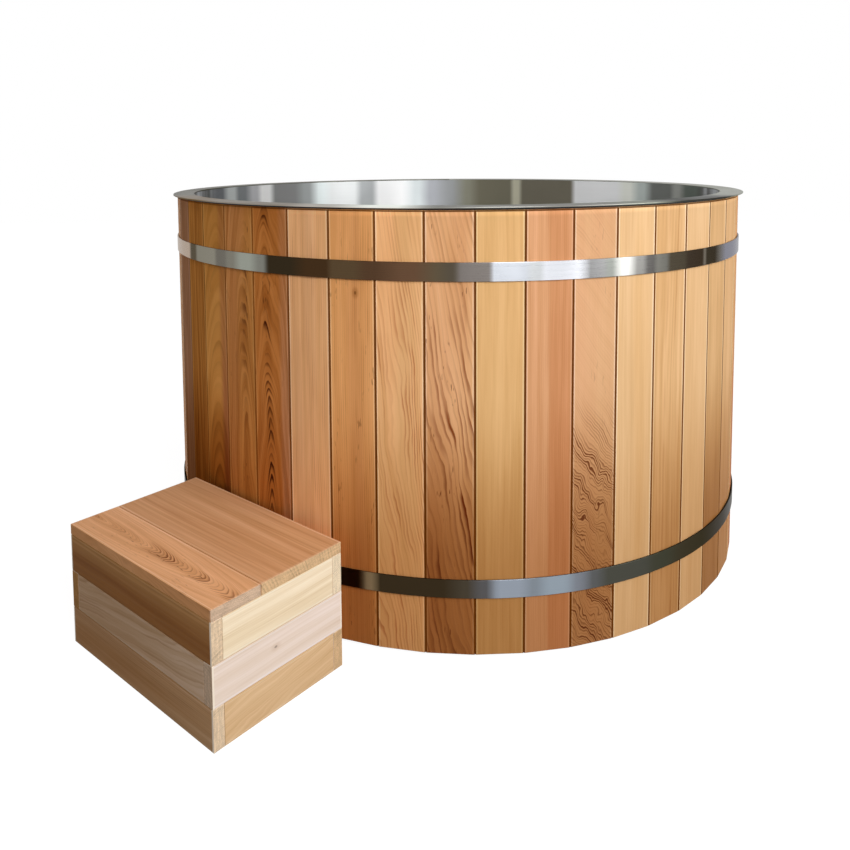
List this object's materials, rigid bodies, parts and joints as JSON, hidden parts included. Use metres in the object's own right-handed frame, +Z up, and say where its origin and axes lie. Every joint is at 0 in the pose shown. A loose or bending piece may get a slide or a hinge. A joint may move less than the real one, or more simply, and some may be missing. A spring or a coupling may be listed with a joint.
{
  "type": "cold plunge tub",
  "caption": "Round wooden cold plunge tub with a steel liner, rim and hoops, a drain valve, water ports for a chiller, and a loose wooden step.",
  "frame": {"origin": "on the ground on the tub's vertical axis, in the underside of the middle joist", "axes": "+Z up the tub's axis; -Y towards the front, where the step stands; +Y towards the drain valve and water ports behind"},
  "size_m": [1.5623, 1.9362, 0.917],
  "materials": {
    "stave_cedar": "planed cedar staves, clear satin finish",
    "step_cedar": "planed cedar boards, clear satin finish",
    "frame_cedar": "sawn cedar, unfinished",
    "hoop_steel": "brushed stainless steel",
    "liner_steel": "brushed stainless steel sheet",
    "plain_steel": "plain stainless steel",
    "valve_brass": "cast brass, satin",
    "black_rubber": "black rubber",
    "white_plastic": "white sealing plastic",
    "foam": "closed-cell insulating foam"
  },
  "bodies": {
    "tub": {"staves": "stave_cedar", "ported_staves": "stave_cedar", "upper_hoop": "hoop_steel", "lower_hoop": "hoop_steel", "hoop_lugs": "hoop_steel", "draw_bolts": "hoop_steel", "draw_washers": "hoop_steel", "draw_nuts": "hoop_steel", "wall_foam": "foam", "liner_wall": "liner_steel", "liner_floor": "liner_steel", "liner_rim": "liner_steel", "rim_seal": "black_rubber", "floor_boards": "frame_cedar", "floor_foam": "foam", "joists": "frame_cedar", "drain_body": "liner_steel", "drain_gasket": "black_rubber", "drain_strainer": "liner_steel", "drain_nut": "valve_brass", "drain_elbow": "valve_brass", "drain_pipe": "liner_steel", "valve_body": "valve_brass", "valve_end": "valve_brass", "valve_seats": "white_plastic", "stem_seal": "white_plastic", "suction_port": "liner_steel", "suction_cover": "liner_steel", "return_port": "liner_steel", "return_nozzle": "liner_steel", "port_gaskets": "black_rubber", "port_washers": "black_rubber", "port_nuts": "liner_steel"},
    "valve_handle": {"valve_ball": "plain_steel", "valve_stem": "plain_steel", "valve_lever": "plain_steel", "lever_grip": "black_rubber", "lever_nut": "plain_steel"},
    "step": {"tread_front": "step_cedar", "tread_rear": "step_cedar", "long_planks": "step_cedar", "end_planks": "step_cedar", "corner_posts": "frame_cedar", "post_screws": "plain_steel", "tread_cleats": "frame_cedar", "tread_screws": "plain_steel"}
  },
  "joints": [
    {"name": "valve_turn", "type": "hinge", "parent": "tub", "child": "valve_handle", "pos_m": [0, 0.824, 0.042], "axis": [0, 0, 1], "range_deg": [0, 90]},
    {"name": "step_slide", "type": "slide", "parent": "tub", "child": "step", "axis": [-0.5976, -0.8018, 0], "range_m": [0, 0.4]}
  ]
}
